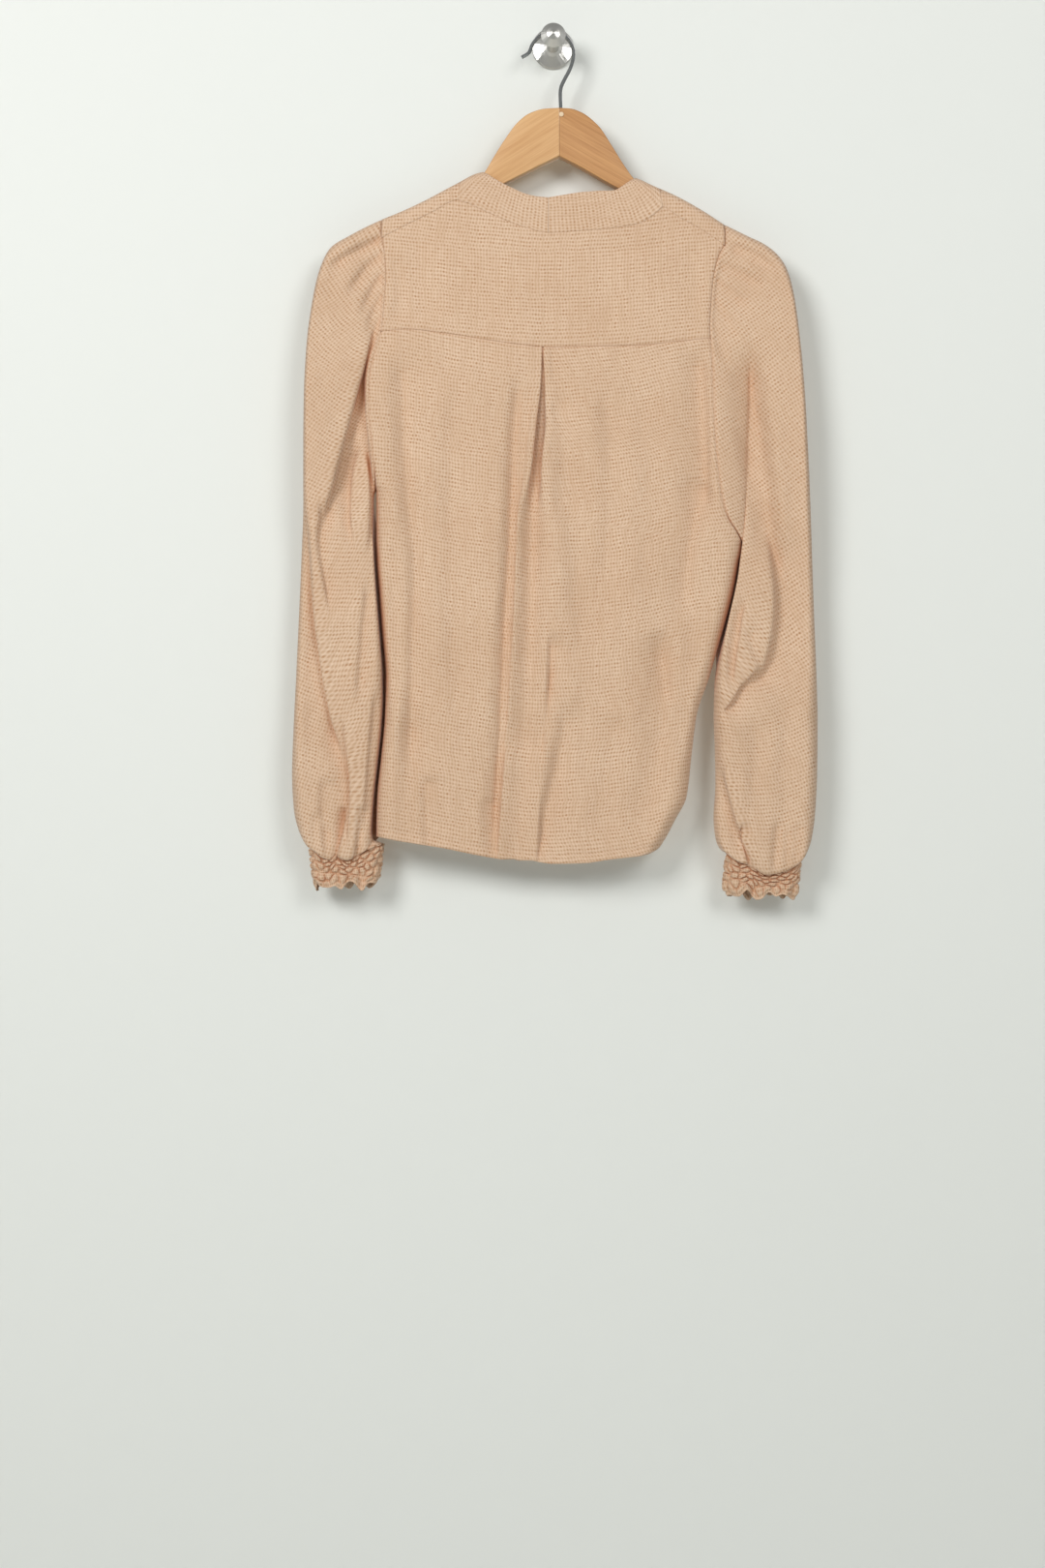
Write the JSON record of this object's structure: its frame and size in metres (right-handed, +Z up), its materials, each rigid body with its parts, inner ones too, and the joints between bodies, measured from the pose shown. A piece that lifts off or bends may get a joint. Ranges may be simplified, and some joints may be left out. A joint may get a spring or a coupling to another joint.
{
  "type": "blouse on a hanger",
  "caption": "Long-sleeved blouse with back yoke, centre-back pleat and smocked cuffs, on a wooden hanger hung from a round wall hook, seen from its back.",
  "frame": {"origin": "centre of the back face of the wall hook's plate, where the wall holds it", "axes": "+X to the right as seen facing the wall, +Y into the wall, +Z up"},
  "size_m": [0.4998, 0.05, 0.8335],
  "materials": {
    "cloth": "textured woven crepe",
    "wood": "clear satin lacquer",
    "steel": "brushed",
    "plug": "plain"
  },
  "bodies": {
    "root": {"back_yoke": "cloth", "back": "cloth", "front": "cloth", "neck_band_left": "cloth", "neck_band_right": "cloth", "sleeve_left": "cloth", "sleeve_right": "cloth", "cuff_left": "cloth", "cuff_right": "cloth", "hanger_arm_left": "wood", "hanger_arm_right": "wood", "hanger_hook": "steel", "wall_hook": "steel", "hanger_plug": "plug"}
  },
  "joints": []
}
